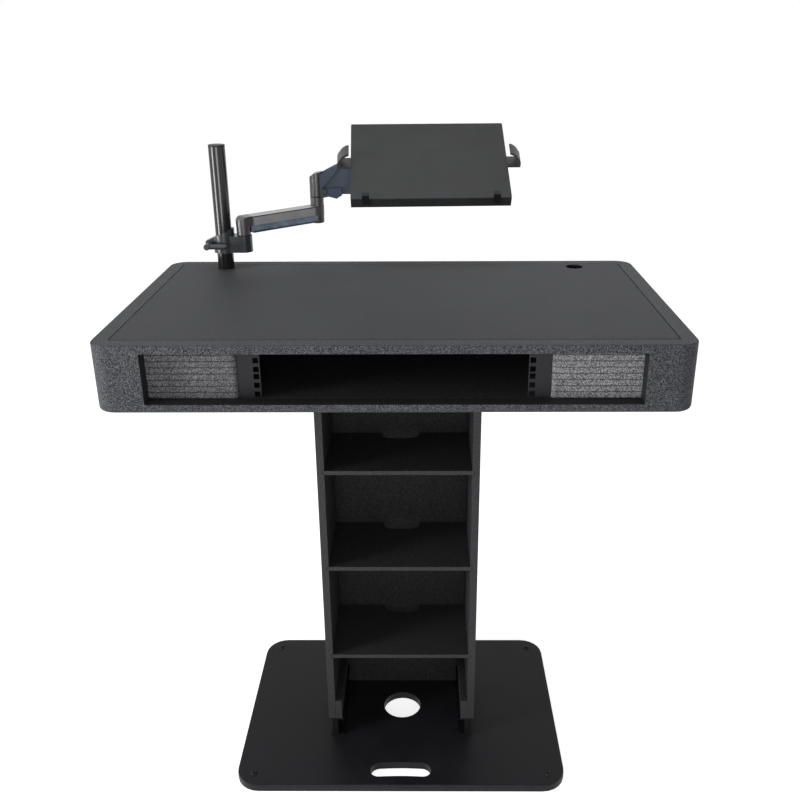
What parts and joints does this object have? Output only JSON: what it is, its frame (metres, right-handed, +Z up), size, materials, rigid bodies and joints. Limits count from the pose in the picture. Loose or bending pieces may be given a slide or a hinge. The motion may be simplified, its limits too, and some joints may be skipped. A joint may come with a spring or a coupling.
{
  "type": "dj podium stand",
  "caption": "Freestanding podium for a performer: a thick worktop with a rack bay on a shelved column and base plate, with a pole-mounted laptop arm.",
  "frame": {"origin": "centre of the worktop's upper face", "axes": "+X to the operator's right along the worktop, -Y towards the operator, +Z up out of the worktop"},
  "size_m": [1.006, 0.7174, 1.2823],
  "materials": {
    "worktop_paint": "fine textured dark charcoal paint on board",
    "console_paint": "speckled dark grey paint on board",
    "board_black": "black painted board",
    "block_paint": "rough speckled grey paint on layered board",
    "steel_black": "satin black powder coat",
    "pole_black": "glossy black paint",
    "rubber_black": "matte",
    "zinc": "bright zinc",
    "cast_grey": "mid grey satin paint on casting",
    "cover_blue": "dark blue grey",
    "plastic_black": "fine matte"
  },
  "bodies": {
    "stand": {"back_panel": "board_black", "base_plate": "steel_black", "block_left": "block_paint", "block_right": "block_paint", "bottom_panel": "board_black", "cleat_left": "board_black", "cleat_right": "board_black", "foot_rail_left": "steel_black", "foot_rail_right": "steel_black", "rack_rail_left": "steel_black", "rack_rail_right": "steel_black", "rubber_foot_front_left": "rubber_black", "rubber_foot_front_right": "rubber_black", "rubber_foot_rear_left": "rubber_black", "rubber_foot_rear_right": "rubber_black", "shelf_lower": "board_black", "shelf_middle": "board_black", "shelf_upper": "board_black", "side_panel_left": "board_black", "side_panel_right": "board_black", "table_ring": "console_paint", "top_panel": "worktop_paint"},
    "pole": {"pole_tube": "pole_black", "pole_cap": "plastic_black", "pole_plug": "zinc", "pole_bolt": "zinc", "pole_washer": "zinc"},
    "collar": {"collar_body": "pole_black", "clamp_bolt": "zinc", "boss_pin": "zinc", "arm_washer": "plastic_black"},
    "clamp_lever": {"clamp_lever": "pole_black"},
    "lower_arm": {"lower_arm": "cast_grey", "cable_channel": "cover_blue", "elbow_cap": "plastic_black"},
    "elbow": {"elbow_washer": "plastic_black", "elbow_pin": "zinc", "elbow_casting": "cast_grey", "knuckle_cover_front": "cover_blue", "knuckle_cover_rear": "cover_blue", "pivot_bolt": "plastic_black", "link_pin_elbow": "zinc"},
    "upper_arm": {"arm_shell": "cover_blue", "head_pin": "zinc"},
    "link": {"link_bar": "steel_black"},
    "head": {"head_block": "cover_blue", "link_pin_head": "zinc"},
    "yoke": {"yoke": "steel_black", "tilt_pin": "zinc", "tilt_knob": "plastic_black"},
    "tray": {"tray_bracket": "steel_black", "tray_plate": "steel_black", "front_clip_left": "steel_black", "front_clip_right": "steel_black", "claw_guide_left": "plastic_black", "claw_guide_right": "plastic_black", "claw_lock_left": "plastic_black", "claw_lock_right": "plastic_black"},
    "claw_left": {"claw_left": "steel_black"},
    "claw_right": {"claw_right": "steel_black"}
  },
  "joints": [
    {"name": "pole_turn", "type": "hinge", "parent": "stand", "child": "pole", "pos_m": [-0.375, 0.234, 0], "axis": [0, 0, 1], "range_deg": [-120, 120]},
    {"name": "collar_height", "type": "slide", "parent": "pole", "child": "collar", "axis": [0, 0, 1], "range_m": [-0.03, 0.165]},
    {"name": "clamp_turn", "type": "hinge", "parent": "collar", "child": "clamp_lever", "pos_m": [-0.406, 0.234, 0.0517], "axis": [0, -1, 0], "range_deg": [0, 90]},
    {"name": "arm_swing", "type": "hinge", "parent": "collar", "child": "lower_arm", "pos_m": [-0.332, 0.234, 0.09], "axis": [0, 0, 1], "range_deg": [-150, 65]},
    {"name": "elbow_swing", "type": "hinge", "parent": "lower_arm", "child": "elbow", "pos_m": [-0.18823, 0.36574, 0.12], "axis": [0, 0, -1], "range_deg": [-150, 85]},
    {"name": "arm_lift", "type": "hinge", "parent": "elbow", "child": "upper_arm", "pos_m": [-0.16873, 0.36574, 0.1427], "axis": [0, -1, 0], "range_deg": [-4, 30]},
    {"name": "link_turn", "type": "hinge", "parent": "elbow", "child": "link", "pos_m": [-0.16273, 0.36574, 0.1717], "axis": [0, -1, 0], "range_deg": [-5, 31]},
    {"name": "head_level", "type": "hinge", "parent": "upper_arm", "child": "head", "pos_m": [0.03057, 0.36574, 0.1427], "axis": [0, -1, 0], "range_deg": [-31, 5]},
    {"name": "tray_swivel", "type": "hinge", "parent": "head", "child": "yoke", "pos_m": [0.06037, 0.36574, 0.15], "axis": [0, 0, 1], "range_deg": [-8, 100]},
    {"name": "tray_tilt", "type": "hinge", "parent": "yoke", "child": "tray", "pos_m": [0.06037, 0.36574, 0.185], "axis": [0.999, 0.0445, 0], "range_deg": [-30, 35]},
    {"name": "claw_left_slide", "type": "slide", "parent": "tray", "child": "claw_left", "axis": [-0.999, -0.0445, 0], "range_m": [-0.014, 0.03]},
    {"name": "claw_right_slide", "type": "slide", "parent": "tray", "child": "claw_right", "axis": [0.999, 0.0445, 0], "range_m": [-0.014, 0.03]}
  ],
  "couplings": [
    {"joint": "link_turn", "follows": "arm_lift", "ratio": 1},
    {"joint": "head_level", "follows": "arm_lift", "ratio": -1}
  ]
}
